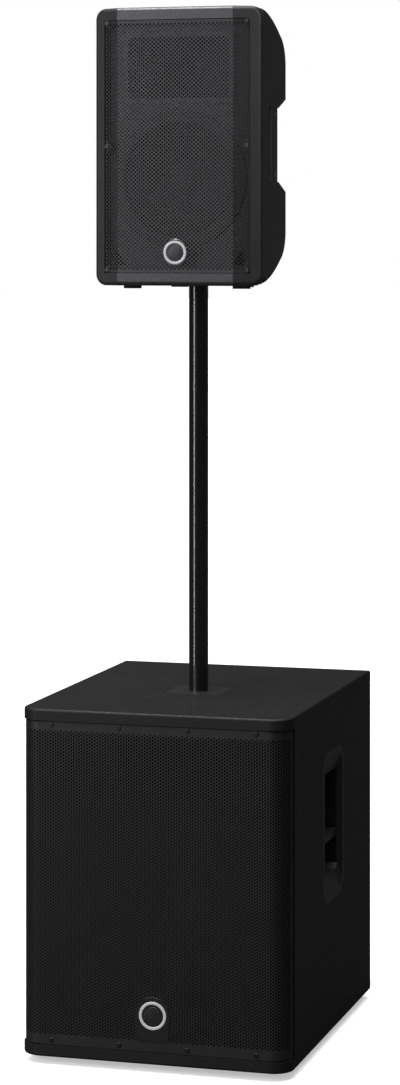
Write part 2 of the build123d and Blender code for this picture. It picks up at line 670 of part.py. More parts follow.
def rear_shell(outer, hollow):
    """The rear moulding: walls, hand pocket, amplifier opening and socket boss."""
    behind = block(-TOP_W, TOP_W, SPLIT, TOP_D + 1, -1, TOP_H + 1)
    shell = (outer - hollow) + (pocket(3.5) & outer)
    shell = (shell - pocket(0)) & behind
    frame = block(-TOP_AMP_X - 10, TOP_AMP_X + 10, TOP_AMP_IN - 6, TOP_D, TOP_AMP_LOW - 10, TOP_AMP_HIGH + 10)
    shell += frame & outer
    shell -= block(-TOP_AMP_X, TOP_AMP_X, TOP_AMP_IN, TOP_D + 1, TOP_AMP_LOW, TOP_AMP_HIGH)
    shell -= block(-TOP_AMP_X + 8, TOP_AMP_X - 8, TOP_AMP_IN - 12, TOP_D, TOP_AMP_LOW + 8, TOP_AMP_HIGH - 8)
    shell -= post(POLE_R + SOCKET_WALL, -5, SHELL_T + 2, 0, POLE_Y - TOP_FRONT)
    for x, z in top_amp_screw_places():
        shell -= rod(1.6, TOP_AMP_IN - 14, TOP_D, x, z)
    return shell


def corner_port(side):
    """Triangular reflex opening in a lower corner of the baffle wall."""
    points = [(side * 96, 36), (side * 118, 36), (side * 118, 66)]
    face = make_face(Polyline(*[(x, 0, z) for x, z in points], close=True))
    return Pos(0, WALL_BACK + 10, 0) * extrude(face, 40, dir=(0, -1, 0))


def top_screw_places():
    """Six grille screws, three on each outer facet."""
    return [(side * 128.5, z) for side in (-1, 1) for z in (27.5, 246.0, 464.0)]


def front_moulding(outer):
    """The front frame and baffle wall in one moulding."""
    ahead = block(-TOP_W, TOP_W, -5, SPLIT, -1, TOP_H + 1)
    body = outer & ahead
    back_room = block(-TOP_W / 2 + SHELL_T, TOP_W / 2 - SHELL_T, WALL_BACK, SPLIT + 1, SHELL_T + 4, TOP_H - SHELL_T - 4)
    recess = block(-GRILLE_X, GRILLE_X, -1, WALL_FRONT, GRILLE_LOW, GRILLE_HIGH)
    body = body - recess - back_room
    bosses = None
    for x, z in top_screw_places():
        boss = rod(5.5, 4, WALL_FRONT + 1, x, z)
        bosses = boss if bosses is None else bosses + boss
    body += bosses & plan_region(TOP_W / 2, 0, WALL_FRONT + 2, GRILLE_SET + TOP_SHEET_T)
    for x, z in top_screw_places():
        body -= rod(1.6, -1, WALL_FRONT - 1, x, z)
    body -= rod(TOP_WOOFER["hole"], -1, SPLIT + 1, 0, WOOFER_Z)
    body -= block(-HORN_W / 2 + 4, HORN_W / 2 - 4, -1, SPLIT + 1, HORN_Z - HORN_H / 2 + 4, HORN_Z + HORN_H / 2 - 4)
    for side in (-1, 1):
        body -= corner_port(side)
    return body


def top_grille():
    """Steel sheet folded along the two creases of the front."""
    margin = 1.0
    half = GRILLE_X - margin
    outer = plan_region(half, GRILLE_LOW + margin, WALL_FRONT, GRILLE_SET)
    inner = plan_region(half + 1, GRILLE_LOW, WALL_FRONT + 1, GRILLE_SET + TOP_SHEET_T)
    sheet = (outer - inner) & block(-TOP_W, TOP_W, -1, 60, GRILLE_LOW + margin, GRILLE_HIGH - margin)
    for x, z in top_screw_places():
        sheet -= rod(1.9, -1, WALL_FRONT - 1, x, z)
    return sheet


def top_grille_screws():
    screws = []
    for x, z in top_screw_places():
        surface = facet_depth(x) + GRILLE_SET
        screw = pan_screw(0, 0, 0, length=10.0, head_r=4.0, head_h=1.5, shank_r=1.5)
        screws.append(at_top(Pos(x, surface - 1.95, z) * screw))
    return screws


TOP_BADGE_Z = 58.5
TOP_BADGE_R = 21.0


def top_badge():
    """A black disc with a plain raised ring, without any mark."""
    face = GRILLE_SET
    disc = rod(TOP_BADGE_R + 3.0, face - 1.2, face, 0, TOP_BADGE_Z)
    ring = rod(TOP_BADGE_R, face - 2.4, face - 1.2, 0, TOP_BADGE_Z) - rod(TOP_BADGE_R - 5, face - 3, face - 1.2, 0,
                                                                         TOP_BADGE_Z)
    return at_top(disc + ring)


def horn():
    """Rectangular constant-directivity horn with a flange, hollow from mouth to throat."""
    def section(w, h, y, r):
        return Pos(0, y, HORN_Z) * Rot(90, 0, 0) * RectangleRounded(w, h, r)
    mouth_y, throat_y = WALL_FRONT - 3, 112.0
    inner_w, inner_h = HORN_W - 20, HORN_H - 20
    flange = extrude(section(HORN_W, HORN_H, WALL_FRONT, 12), 3)
    outer = loft([section(inner_w + 8, inner_h + 8, WALL_FRONT, 12), section(88, 74, 72, 12),
                  section(38, 38, throat_y, 12)], ruled=True)
    inner = loft([section(inner_w, inner_h, mouth_y - 0.01, 10), section(80, 66, 71, 10),
                  section(26, 26, throat_y + 0.01, 10)], ruled=True)
    return at_top(flange + outer - inner)


def hf_driver():
    """Compression driver on the horn's throat."""
    y = 112.0
    profile = [(13, y), (34, y), (34, y + 6), (39, y + 8), (39, y + 28), (32, y + 31), (32, y + 38), (0, y + 38),
               (0, y + 26), (13, y + 20)]
    return at_top(turned(profile, HORN_Z))


def handle_bar():
    """Vertical grip between the ends of the hand pocket."""
    bar = block(TOP_W / 2 - BAR_T, TOP_W / 2 - 0.4, BAR_FRONT, POCKET_BACK, POCKET_LOW, POCKET_HIGH)
    bar = fillet(bar.edges().filter_by(Axis.Z), 7)
    return at_top(bar)


def handle_bar_screws():
    screws = []
    for z in (POCKET_LOW + 12, POCKET_HIGH - 12):
        screw = Pos(TOP_W / 2 - 0.2, (BAR_FRONT + POCKET_BACK) / 2, z) * Rot(0, 90, 0) * Cylinder(3.6, 0.4)
        screws.append(at_top(screw))
    return screws


def feet_places():
    return [(-101, 77), (101, 77), (-62, 244), (62, 244)]


def top_foot(x, y):
    """A rectangular rubber foot with a plug that snaps into the shell."""
    pad = block(x - 15, x + 15, y - 9, y + 9, -6, 0)
    pad = fillet(pad.edges().filter_by(Axis.Z), 4)
    pad = pad + block(x - 15, x + 15, y - 9, y + 9, -1, 0)
    return at_top(pad)


def top_socket():
    """The cup that sits on the pole, let into the speaker's underside."""
    y = POLE_Y - TOP_FRONT
    wall = SOCKET_WALL - 0.2
    tube = post(POLE_R + wall, 0, TOP_SOCKET_DEPTH + 4, 0, y)
    flange = post(POLE_R + 14, SHELL_T, SHELL_T + 3, 0, y)
    bore = post(POLE_R + POLE_FIT, -1, TOP_SOCKET_DEPTH, 0, y)
    return at_top(tube + flange - bore)


TOP_XLR = [(-38.0, 372.0), (0.0, 372.0), (38.0, 372.0)]
TOP_KNOBS = [(-38.0, 412.0), (0.0, 412.0)]
TOP_EQ = (38.0, 412.0)
TOP_INLET = (-30.0, 122.0)
TOP_ROCKER = (26.0, 122.0)


def top_amp_plate():
    plate = block(-TOP_AMP_X + 0.3, TOP_AMP_X - 0.3, TOP_AMP_IN, TOP_AMP_OUT, TOP_AMP_LOW + 0.3, TOP_AMP_HIGH - 0.3)
    plate = fillet(plate.edges().filter_by(Axis.Y), 4)
    for x, z in TOP_XLR:
        plate -= block(x - 11, x + 11, TOP_AMP_IN - 1, TOP_AMP_OUT + 1, z - 11, z + 11)
    for x, z in TOP_KNOBS:
        plate -= rod(SHAFT_R + 0.1, TOP_AMP_IN - 1, TOP_AMP_OUT + 1, x, z)
    x, z = TOP_EQ
    plate -= block(x - 5, x + 5, TOP_AMP_IN - 1, TOP_AMP_OUT + 1, z - 2.2, z + 2.2)
    x, z = TOP_INLET
    plate -= block(x - 14, x + 14, TOP_AMP_IN - 1, TOP_AMP_OUT + 1, z - 10, z + 10)
    x, z = TOP_ROCKER
    plate -= block(x - 8, x + 8, TOP_AMP_IN - 1, TOP_AMP_OUT + 1, z - 11.6, z + 11.6)
    for x, z in top_amp_screw_places():
        plate -= rod(1.6, TOP_AMP_IN - 1, TOP_AMP_OUT + 1, x, z)
    return at_top(plate)


def top_amp_screw_places():
    x = TOP_AMP_X - 4.6
    return [(a * x, z) for a in (-1, 1) for z in (TOP_AMP_LOW + 6, (TOP_AMP_LOW + TOP_AMP_HIGH) / 2, TOP_AMP_HIGH - 6)]


def top_amp_board():
    """Amplifier board with its parts, pots and switch case, soldered into one unit."""
    y1 = TOP_AMP_IN - 22
    board = block(-58, 58, y1 - 2, y1, 160, 426)
    for x, z in ((-30, 200), (10, 200), (-30, 240), (10, 240)):
        board += rod(13, y1 - 32, y1 - 2, x, z)
    for x, z in ((-30, 290), (30, 290)):
        board += block(x - 16, x + 16, y1 - 22, y1 - 2, z - 14, z + 14)
    for x in (-50, 50):
        for z in (170, 340):
            board += rod(3.5, y1, TOP_AMP_IN, x, z)
    for x, z in TOP_KNOBS:
        pot = rod(8, y1, TOP_AMP_IN, x, z) - rod(SHAFT_R + 0.1, TOP_AMP_IN - 8, TOP_AMP_IN + 1, x, z)
        board += pot
    x, z = TOP_EQ
    case = block(x - 10, x + 10, y1, TOP_AMP_IN, z - 6, z + 6)
    board += case - block(x - 6, x + 6, TOP_AMP_IN - 4, TOP_AMP_IN + 1, z - 3, z + 3)
    return at_top(board)


# ================= Write every sub-part =================

def main():
    outer = speaker_form(0)
    hollow = speaker_form(SHELL_T)
    sub_y = BAFFLE_Y
    top_y = WALL_FRONT
    save("sub_top_panel", top_panel())
    save("sub_bottom_panel", bottom_panel())
    save("sub_left_panel", side_panel(-1))
    save("sub_right_panel", side_panel(1))
    save("sub_rear_panel", rear_panel())
    save("sub_baffle", baffle())
    save("sub_brace", brace())
    save("sub_grille", sub_grille())
    save("sub_grille_foam", sub_grille_foam())
    save("sub_grille_screws", [pan_screw(x, GRILLE_Y, z, head_h=1.8) for x, z in grille_screw_places()])
    save("sub_badge", sub_badge())
    save("sub_port_tubes", [port_tube(x) for x in (-PORT_X, PORT_X)])
    save("sub_handle_left", handle_cup(-1))
    save("sub_handle_right", handle_cup(1))
    save("sub_handle_screws", cup_screws())
    save("sub_pole_socket", pole_socket())
    save("sub_socket_screws", [post(SCREW_R, CAB_TOP - 18, CAB_TOP - 0.4, x, y) for x, y in plate_screw_places()])
    save("sub_feet", [foot(x, y) for x in (-180, 180) for y in (FRONT + 82, REAR - 82)])
    save("sub_woofer_basket", basket(SUB_WOOFER, sub_y, SUB_WOOFER_Z))
    save("sub_woofer_magnet", magnet(SUB_WOOFER, sub_y, SUB_WOOFER_Z))
    save("sub_woofer_cone", cone(SUB_WOOFER, sub_y, SUB_WOOFER_Z))
    save("sub_woofer_surround", surround(SUB_WOOFER, sub_y, SUB_WOOFER_Z))
    save("sub_woofer_spider", spider(SUB_WOOFER, sub_y, SUB_WOOFER_Z))
    save("sub_amp_plate", sub_amp_plate())
    save("sub_amp_heatsink", heatsink(5, 134, AMP_PLATE_OUT, AMP_PLATE_OUT + 7.5, 215, 425, 13))
    save("sub_amp_board", sub_amp_board())
    save("sub_transformer", transformer())
    save("sub_amp_screws", [pan_screw(x, AMP_PLATE_OUT, z, direction=1) for x, z in amp_screw_places()])
    save("sub_xlr_sockets", [xlr_socket(x, z, AMP_PLATE_IN - 20, AMP_PLATE_OUT + 1.4, 11.9) for x, z in XLR_PLACES])
    save("sub_power_inlet", power_inlet(INLET_X, INLET_Z, AMP_PLATE_IN, AMP_PLATE_OUT))
    save("sub_level_knob", knob(KNOB_X, KNOB_Z, AMP_PLATE_IN, AMP_PLATE_OUT, 8.5, 7.5))
    save("sub_polarity_switch", slide_switch(POLARITY_X, SWITCH_Z, AMP_PLATE_IN, AMP_PLATE_OUT))
    save("sub_filter_switch", slide_switch(FILTER_X, SWITCH_Z, AMP_PLATE_IN, AMP_PLATE_OUT))
    save("sub_power_switch", rocker(ROCKER_X, INLET_Z, (AMP_PLATE_IN + AMP_PLATE_OUT) / 2))

    save("pole_tube", pole_tube())
    save("pole_end_plugs", [pole_plug(POLE_BOTTOM + PLUG_T, -1), pole_plug(POLE_TOP - PLUG_T, 1)])

    save("speaker_front", at_top(front_moulding(outer)))
    save("speaker_rear_shell", at_top(rear_shell(outer, hollow)))
    save("speaker_grille", at_top(top_grille()))
    save("speaker_grille_screws", top_grille_screws())
    save("speaker_badge", top_badge())
    save("speaker_horn", horn())
    save("speaker_hf_driver", hf_driver())
    save("speaker_woofer_basket", at_top(basket(TOP_WOOFER, top_y, WOOFER_Z)))
    save("speaker_woofer_magnet", at_top(magnet(TOP_WOOFER, top_y, WOOFER_Z)))
    save("speaker_woofer_cone", at_top(cone(TOP_WOOFER, top_y, WOOFER_Z)))
    save("speaker_woofer_surround", at_top(surround(TOP_WOOFER, top_y, WOOFER_Z)))
    save("speaker_handle_grip", handle_bar())
    save("speaker_handle_screws", handle_bar_screws())
    save("speaker_pole_socket", top_socket())
    save("speaker_feet", [top_foot(x, y) for x, y in feet_places()])
    save("speaker_amp_plate", top_amp_plate())
    save("speaker_amp_board", top_amp_board())
    screws = [at_top(pan_screw(x, TOP_AMP_OUT, z, 12.0, 3.2, 1.5, 1.6, 1)) for x, z in top_amp_screw_places()]
    save("speaker_amp_screws", screws)
    save("speaker_sockets", [at_top(xlr_socket(x, z, TOP_AMP_IN - 20, TOP_AMP_OUT + 1.4, 10.9)) for x, z in TOP_XLR])
    save("speaker_power_inlet", at_top(power_inlet(*TOP_INLET, TOP_AMP_IN, TOP_AMP_OUT)))
    for number, (x, z) in enumerate(TOP_KNOBS, 1):
        save(f"speaker_level_knob_{number}", at_top(knob(x, z, TOP_AMP_IN, TOP_AMP_OUT, 7.0, 7.5)))
    save("speaker_eq_switch", at_top(slide_switch(*TOP_EQ, TOP_AMP_IN, TOP_AMP_OUT)))
    save("speaker_power_switch", at_top(rocker(*TOP_ROCKER, (TOP_AMP_IN + TOP_AMP_OUT) / 2)))


main()
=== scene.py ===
import json
import math

import bmesh
import bpy
import numpy as np
from mathutils import Matrix, Vector


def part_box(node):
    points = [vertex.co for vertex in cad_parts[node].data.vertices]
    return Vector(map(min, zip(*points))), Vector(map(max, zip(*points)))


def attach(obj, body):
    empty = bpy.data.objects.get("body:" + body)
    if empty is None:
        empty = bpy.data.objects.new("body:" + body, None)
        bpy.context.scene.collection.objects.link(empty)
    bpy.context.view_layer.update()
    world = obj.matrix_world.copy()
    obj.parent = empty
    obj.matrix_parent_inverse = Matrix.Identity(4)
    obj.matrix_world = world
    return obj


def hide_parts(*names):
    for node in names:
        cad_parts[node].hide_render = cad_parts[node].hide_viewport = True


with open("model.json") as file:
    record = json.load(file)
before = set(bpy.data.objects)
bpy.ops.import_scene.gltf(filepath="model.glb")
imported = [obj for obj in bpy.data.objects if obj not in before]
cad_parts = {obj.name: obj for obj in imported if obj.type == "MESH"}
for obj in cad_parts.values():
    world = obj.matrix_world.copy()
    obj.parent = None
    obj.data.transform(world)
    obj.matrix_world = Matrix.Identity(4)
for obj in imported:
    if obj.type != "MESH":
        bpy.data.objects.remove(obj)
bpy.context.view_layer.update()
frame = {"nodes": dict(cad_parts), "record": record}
nodes = frame["nodes"]
MM = 0.001

# ================= Camera =================

CAMERA_PLACE = (1.5165, -5.2660, 1.4381)
CAMERA_YAW = math.radians(16.10)
CAMERA_LENS = 100.35
CAMERA_SHIFT_Y = -0.2838


def make_camera():
    data = bpy.data.cameras.new("camera")
    data.lens = CAMERA_LENS
    data.sensor_width = 36.0
    data.shift_y = CAMERA_SHIFT_Y
    data.clip_end = 100.0
    camera = bpy.data.objects.new("camera", data)
    camera.location = CAMERA_PLACE
    camera.rotation_euler = (math.pi / 2, 0.0, CAMERA_YAW)
    bpy.context.scene.collection.objects.link(camera)
    bpy.context.scene.camera = camera


# ================= Node-tree helpers =================

class Paint:
    """Builds one procedural material; every method returns a socket."""

    def __init__(self, name):
        self.material = bpy.data.materials.new(name)
        self.material.use_nodes = True
        self.tree = self.material.node_tree
        self.shader = self.tree.nodes["Principled BSDF"]
        self.coords = self.tree.nodes.new("ShaderNodeTexCoord").outputs["Object"]

    def put(self, **values):
        """Constants on the shader's own sockets; names use _ for spaces."""
        for key, value in values.items():
            self.shader.inputs[key.replace("_", " ")].default_value = value
        return self

    def link(self, source, target):
        self.tree.links.new(source, target)

    def mapped(self, scale=(1, 1, 1), rotation=(0, 0, 0), offset=(0, 0, 0)):
        node = self.tree.nodes.new("ShaderNodeMapping")
        node.inputs["Scale"].default_value = scale
        node.inputs["Rotation"].default_value = rotation
        node.inputs["Location"].default_value = offset
        self.link(self.coords, node.inputs["Vector"])
        return node.outputs["Vector"]

    def noise(self, scale, detail=2.0, roughness=0.5, vector=None, distortion=0.0):
        node = self.tree.nodes.new("ShaderNodeTexNoise")
        node.inputs["Scale"].default_value = scale
        node.inputs["Detail"].default_value = detail
        node.inputs["Roughness"].default_value = roughness
        node.inputs["Distortion"].default_value = distortion
        self.link(vector or self.coords, node.inputs["Vector"])
        return node.outputs["Fac"]

    def cells(self, scale, feature="F1", vector=None, randomness=1.0):
        node = self.tree.nodes.new("ShaderNodeTexVoronoi")
        node.feature = feature
        node.inputs["Scale"].default_value = scale
        node.inputs["Randomness"].default_value = randomness
        self.link(vector or self.coords, node.inputs["Vector"])
        return node.outputs["Distance"]

    def wave(self, scale, kind="BANDS", direction="X", vector=None, distortion=0.0, profile="SIN"):
        node = self.tree.nodes.new("ShaderNodeTexWave")
        node.wave_type = kind
        if kind == "BANDS":
            node.bands_direction = direction
        else:
            node.rings_direction = direction
        node.wave_profile = profile
        node.inputs["Scale"].default_value = scale
        node.inputs["Distortion"].default_value = distortion
        self.link(vector or self.coords, node.inputs["Vector"])
        return node.outputs["Fac"]

    def axis(self, letter):
        node = self.tree.nodes.new("ShaderNodeSeparateXYZ")
        self.link(self.coords, node.inputs["Vector"])
        return node.outputs[letter]

    def math(self, operation, first, second=None, third=None, clamp=False):
        node = self.tree.nodes.new("ShaderNodeMath")
        node.operation = operation
        node.use_clamp = clamp
        for slot, value in enumerate((first, second, third)):
            if value is None:
                continue
            if isinstance(value, (int, float)):
                node.inputs[slot].default_value = value
            else:
                self.link(value, node.inputs[slot])
        return node.outputs[0]

    def spread(self, source, low, high, out_low=0.0, out_high=1.0):
        """Rescales a socket's range."""
        node = self.tree.nodes.new("ShaderNodeMapRange")
        for key, value in (("From Min", low), ("From Max", high), ("To Min", out_low), ("To Max", out_high)):
            node.inputs[key].default_value = value
        self.link(source, node.inputs["Value"])
        return node.outputs["Result"]

    def blend(self, factor, first, second):
        """Mixes two colours, or a colour and a socket."""
        node = self.tree.nodes.new("ShaderNodeMix")
        node.data_type = "RGBA"
        if isinstance(factor, (int, float)):
            node.inputs["Factor"].default_value = factor
        else:
            self.link(factor, node.inputs["Factor"])
        for key, value in ((6, first), (7, second)):
            if isinstance(value, (tuple, list)):
                node.inputs[key].default_value = (*value[:3], 1.0)
            else:
                self.link(value, node.inputs[key])
        return node.outputs[2]

    def colour(self, value):
        if isinstance(value, (tuple, list)):
            self.shader.inputs["Base Color"].default_value = (*value[:3], 1.0)
        else:
            self.link(value, self.shader.inputs["Base Color"])
        return self

    def rough(self, value):
        if isinstance(value, (int, float)):
            self.shader.inputs["Roughness"].default_value = value
        else:
            self.link(value, self.shader.inputs["Roughness"])
        return self

    def relief(self, height, distance, strength=1.0):
        """Adds a bump layer on top of those already there; distance is in metres."""
        node = self.tree.nodes.new("ShaderNodeBump")
        node.inputs["Distance"].default_value = distance
        node.inputs["Strength"].default_value = strength
        self.link(height, node.inputs["Height"])
        target = self.shader.inputs["Normal"]
        if target.links:
            self.link(target.links[0].from_socket, node.inputs["Normal"])
        self.link(node.outputs["Normal"], target)
        return self


def grey(value, tint=(1.0, 1.0, 1.04)):
    return tuple(value * t for t in tint)


# ================= Materials =================

def cabinet_paint():
    """Sprayed textured paint on plywood: fine splatter over a faint wood swell."""
    p = Paint("cabinet_paint")
    mottle = p.noise(11.0, 4.0, 0.6)
    speck = p.noise(1500.0, 2.0, 0.5)
    base = p.blend(p.spread(mottle, 0.35, 0.65), grey(0.0050), grey(0.0072))
    p.colour(p.blend(p.spread(speck, 0.55, 0.75), base, grey(0.014)))
    p.rough(p.spread(p.noise(160.0, 3.0), 0.3, 0.7, 0.46, 0.62))
    p.relief(p.cells(620.0, "SMOOTH_F1"), 0.00035, 0.7)
    p.relief(p.noise(1700.0, 3.0, 0.6), 0.00012, 0.8)
    p.relief(p.noise(26.0, 2.0, vector=p.mapped((1, 0.2, 1))), 0.0004, 0.25)
    p.put(Specular_IOR_Level=0.24)
    return p.material


def bare_ply():
    """Unpainted birch plywood inside the cabinet: grain on the faces, layers on the edges."""
    p = Paint("bare_ply")
    grain = p.noise(60.0, 6.0, 0.65, vector=p.mapped((1.0, 14.0, 0.12)), distortion=0.4)
    layers = p.wave(330.0, "BANDS", "Y", distortion=0.3)
    face = p.blend(p.spread(grain, 0.3, 0.7), (0.42, 0.27, 0.13), (0.62, 0.45, 0.26))
    p.colour(p.blend(p.math("MULTIPLY", layers, 0.35), face, (0.30, 0.17, 0.08)))
    p.rough(p.spread(grain, 0.3, 0.7, 0.55, 0.75)).relief(grain, 0.0002, 0.5)
    return p.material


def powder_coat(name, dark, light, shine):
    """Powder coat: orange peel with tiny pits."""
    p = Paint(name)
    patch = p.noise(24.0, 3.0, 0.55)
    fleck = p.noise(2600.0, 1.0)
    base = p.blend(p.spread(patch, 0.35, 0.65), grey(dark), grey(light))
    p.colour(p.blend(p.spread(fleck, 0.6, 0.8, 0.0, 0.5), base, grey(light * 1.8)))
    p.rough(p.spread(p.noise(300.0, 2.0), 0.3, 0.7, shine - 0.07, shine + 0.07))
    p.relief(p.noise(1300.0, 2.0), 0.00010, 0.6)
    p.put(Specular_IOR_Level=0.36)
    return p.material


def moulded(name, dark, light, shine, grain=900.0, depth=0.00022):
    """Injection moulding with a fine eroded grain."""
    p = Paint(name)
    broad = p.noise(9.0, 3.0, 0.5)
    fine = p.cells(grain, "SMOOTH_F1")
    base = p.blend(p.spread(broad, 0.3, 0.7), grey(dark), grey(light))
    p.colour(p.blend(p.spread(fine, 0.1, 0.6, 0.0, 0.35), base, grey(light * 1.25)))
    p.rough(p.spread(p.noise(220.0, 3.0), 0.3, 0.7, shine - 0.06, shine + 0.06))
    p.relief(fine, depth, 0.55)
    p.relief(p.noise(grain * 2.6, 2.0), depth * 0.35, 0.7)
    return p.material


def gloss_tube():
    """Gloss lacquer on drawn steel: faint draw lines and dust under a clear coat."""
    p = Paint("gloss_tube")
    lines = p.noise(900.0, 3.0, 0.6, vector=p.mapped((1.0, 1.0, 0.01)))
    dust = p.noise(420.0, 4.0, 0.7)
    p.colour(p.blend(p.spread(dust, 0.55, 0.8), grey(0.003), grey(0.006)))
    p.rough(p.spread(dust, 0.35, 0.75, 0.20, 0.30)).relief(lines, 0.00003, 0.35)
    p.put(Coat_Weight=0.8, Coat_Roughness=0.08, Specular_IOR_Level=0.35)
    return p.material


def open_foam():
    """Open-cell acoustic foam."""
    p = Paint("open_foam")
    pores = p.cells(620.0)
    p.colour(p.blend(p.spread(pores, 0.1, 0.6), grey(0.002), grey(0.010)))
    p.rough(0.97).relief(pores, 0.0011, 0.9)
    p.put(Specular_IOR_Level=0.05)
    return p.material


def black_rubber():
    p = Paint("black_rubber")
    dust = p.noise(90.0, 5.0, 0.7)
    p.colour(p.blend(p.spread(dust, 0.45, 0.8), grey(0.012), grey(0.030)))
    p.rough(p.spread(dust, 0.3, 0.8, 0.66, 0.88)).relief(p.noise(1100.0, 2.0), 0.00012, 0.6)
    p.put(Specular_IOR_Level=0.3)
    return p.material


def plated_steel(name, base, shine, metal=1.0):
    """Zinc or nickel plate with fine turning marks and faint stains."""
    p = Paint(name)
    stain = p.noise(160.0, 4.0, 0.6)
    marks = p.noise(2400.0, 2.0, vector=p.mapped((1.0, 0.2, 1.0)))
    p.colour(p.blend(p.spread(stain, 0.3, 0.75), grey(base * 0.72), grey(base)))
    p.rough(p.spread(marks, 0.3, 0.7, shine - 0.05, shine + 0.1)).relief(marks, 0.00003, 0.4)
    p.put(Metallic=metal)
    return p.material


def driver_paper(name, centre_x, centre_z, rib):
    """Coated paper cone: fibres and pressed rings about the driver's axis."""
    p = Paint(name)
    place = p.mapped(offset=(-centre_x, 0.0, -centre_z))
    rings = p.wave(rib, "RINGS", "Y", vector=place)
    fibre = p.noise(420.0, 5.0, 0.7, vector=p.mapped((1.0, 1.0, 0.35)))
    p.colour(p.blend(p.spread(fibre, 0.3, 0.75), grey(0.016), grey(0.040)))
    p.rough(p.spread(fibre, 0.3, 0.7, 0.6, 0.8))
    p.relief(rings, 0.0004, 0.5).relief(fibre, 0.0002, 0.5)
    return p.material


def spider_cloth():
    """Resin-dipped cloth in a plain weave."""
    p = Paint("spider_cloth")
    warp = p.wave(380.0, "BANDS", "X")
    weft = p.wave(380.0, "BANDS", "Z")
    weave = p.math("MULTIPLY", warp, weft)
    p.colour(p.blend(weave, (0.20, 0.12, 0.03), (0.50, 0.34, 0.13)))
    p.rough(0.62).relief(weave, 0.0002, 0.8)
    return p.material


def ferrite():
    """Ferrite ring between plated plates: dull grey with fine grinding marks."""
    p = Paint("ferrite")
    grit = p.noise(900.0, 4.0, 0.7)
    p.colour(p.blend(p.spread(grit, 0.3, 0.7), grey(0.045), grey(0.10)))
    p.rough(p.spread(grit, 0.3, 0.7, 0.42, 0.62)).relief(grit, 0.00008, 0.6)
    p.put(Metallic=0.6)
    return p.material


def brushed_black(name, base, shine, direction=(1.0, 1.0, 0.02), metal=0.35):
    """Black-anodised aluminium with a brushed line."""
    p = Paint(name)
    lines = p.noise(700.0, 3.0, 0.6, vector=p.mapped(direction))
    patch = p.noise(14.0, 3.0)
    tone = p.blend(p.spread(patch, 0.3, 0.7), grey(base * 0.8), grey(base * 1.15))
    p.colour(p.blend(p.spread(lines, 0.4, 0.8, 0.0, 0.4), tone, grey(base * 1.7)))
    p.rough(p.spread(lines, 0.3, 0.7, shine - 0.08, shine + 0.08)).relief(lines, 0.00004, 0.5)
    p.put(Metallic=metal)
    return p.material


def circuit(name, board_low, board_high):
    """Green solder mask with tracks between two depths; parts behind it are black to dark grey."""
    p = Paint(name)
    y = p.axis("Y")
    in_board = p.math("MULTIPLY", p.math("GREATER_THAN", y, board_low), p.math("LESS_THAN", y, board_high))
    track = p.cells(170.0, "DISTANCE_TO_EDGE", randomness=0.35)
    mask = p.blend(p.spread(track, 0.03, 0.05), (0.16, 0.34, 0.16), (0.020, 0.11, 0.045))
    parts = p.blend(p.spread(p.cells(24.0), 0.35, 0.45), grey(0.016), grey(0.06))
    p.colour(p.blend(in_board, parts, mask))
    p.rough(p.spread(p.noise(300.0), 0.3, 0.7, 0.3, 0.5)).relief(p.spread(track, 0.02, 0.06), 0.00012, 0.5)
    return p.material


def enamel(name, base, shine):
    """Printed or cast enamel with a light texture."""
    p = Paint(name)
    cloud = p.noise(120.0, 4.0, 0.6)
    p.colour(p.blend(p.spread(cloud, 0.3, 0.7), grey(base * 0.93, (1, 1, 1)), grey(base, (1, 1, 1))))
    p.rough(p.spread(cloud, 0.3, 0.7, shine, shine + 0.1)).relief(p.noise(1600.0), 0.00005, 0.4)
    p.put(Coat_Weight=0.3, Coat_Roughness=0.15)
    return p.material


def box_middle(name):
    low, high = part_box(name)
    return (low + high) / 2


def make_materials():
    sub_driver, top_driver = box_middle("sub_woofer_cone"), box_middle("speaker_woofer_cone")
    sub_plate, top_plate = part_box("sub_amp_plate")[0].y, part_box("speaker_amp_plate")[0].y
    return {
        "cabinet": cabinet_paint(),
        "bare_ply": bare_ply(),
        "grille_steel": powder_coat("grille_powder", 0.0075, 0.0105, 0.50),
        "top_grille_steel": powder_coat("top_grille_powder", 0.017, 0.022, 0.48),
        "foam": open_foam(),
        "black_screw": plated_steel("black_zinc", 0.045, 0.42),
        "bright_screw": plated_steel("bright_zinc", 0.62, 0.30),
        "badge": enamel("badge_black", 0.012, 0.22),
        "badge_white": enamel("badge_white", 0.58, 0.35),
        "black_plastic": moulded("black_moulding", 0.005, 0.008, 0.46, 1300.0, 0.00014),
        "rubber": black_rubber(),
        "rubber_grip": moulded("grip_moulding", 0.018, 0.026, 0.62, 520.0, 0.0004),
        "cast_alloy": powder_coat("basket_coat", 0.020, 0.028, 0.45),
        "magnet": ferrite(),
        "sub_paper": driver_paper("sub_paper", sub_driver.x, sub_driver.z, 18.0),
        "top_paper": driver_paper("top_paper", top_driver.x, top_driver.z, 26.0),
        "cone_cloth": spider_cloth(),
        "amp_plate": brushed_black("amp_plate_black", 0.018, 0.42),
        "heatsink": brushed_black("heatsink_black", 0.016, 0.38, (1.0, 1.0, 0.02), 0.5),
        "sub_circuit": circuit("sub_circuit", sub_plate - 24.1 * MM, sub_plate - 21.9 * MM),
        "top_circuit": circuit("top_circuit", top_plate - 24.1 * MM, top_plate - 21.9 * MM),
        "knob_plastic": moulded("knob_moulding", 0.020, 0.028, 0.5, 1500.0, 0.0001),
        "pole_gloss": gloss_tube(),
        "shell_plastic": moulded("shell_moulding", 0.015, 0.020, 0.42, 820.0, 0.00022),
        "horn_plastic": moulded("horn_moulding", 0.034, 0.042, 0.36, 1800.0, 0.00006),
    }


OWN_MATERIAL = {
    "sub_woofer_cone": "sub_paper",
    "speaker_woofer_cone": "top_paper",
    "sub_amp_board": "sub_circuit",
    "speaker_amp_board": "top_circuit",
}


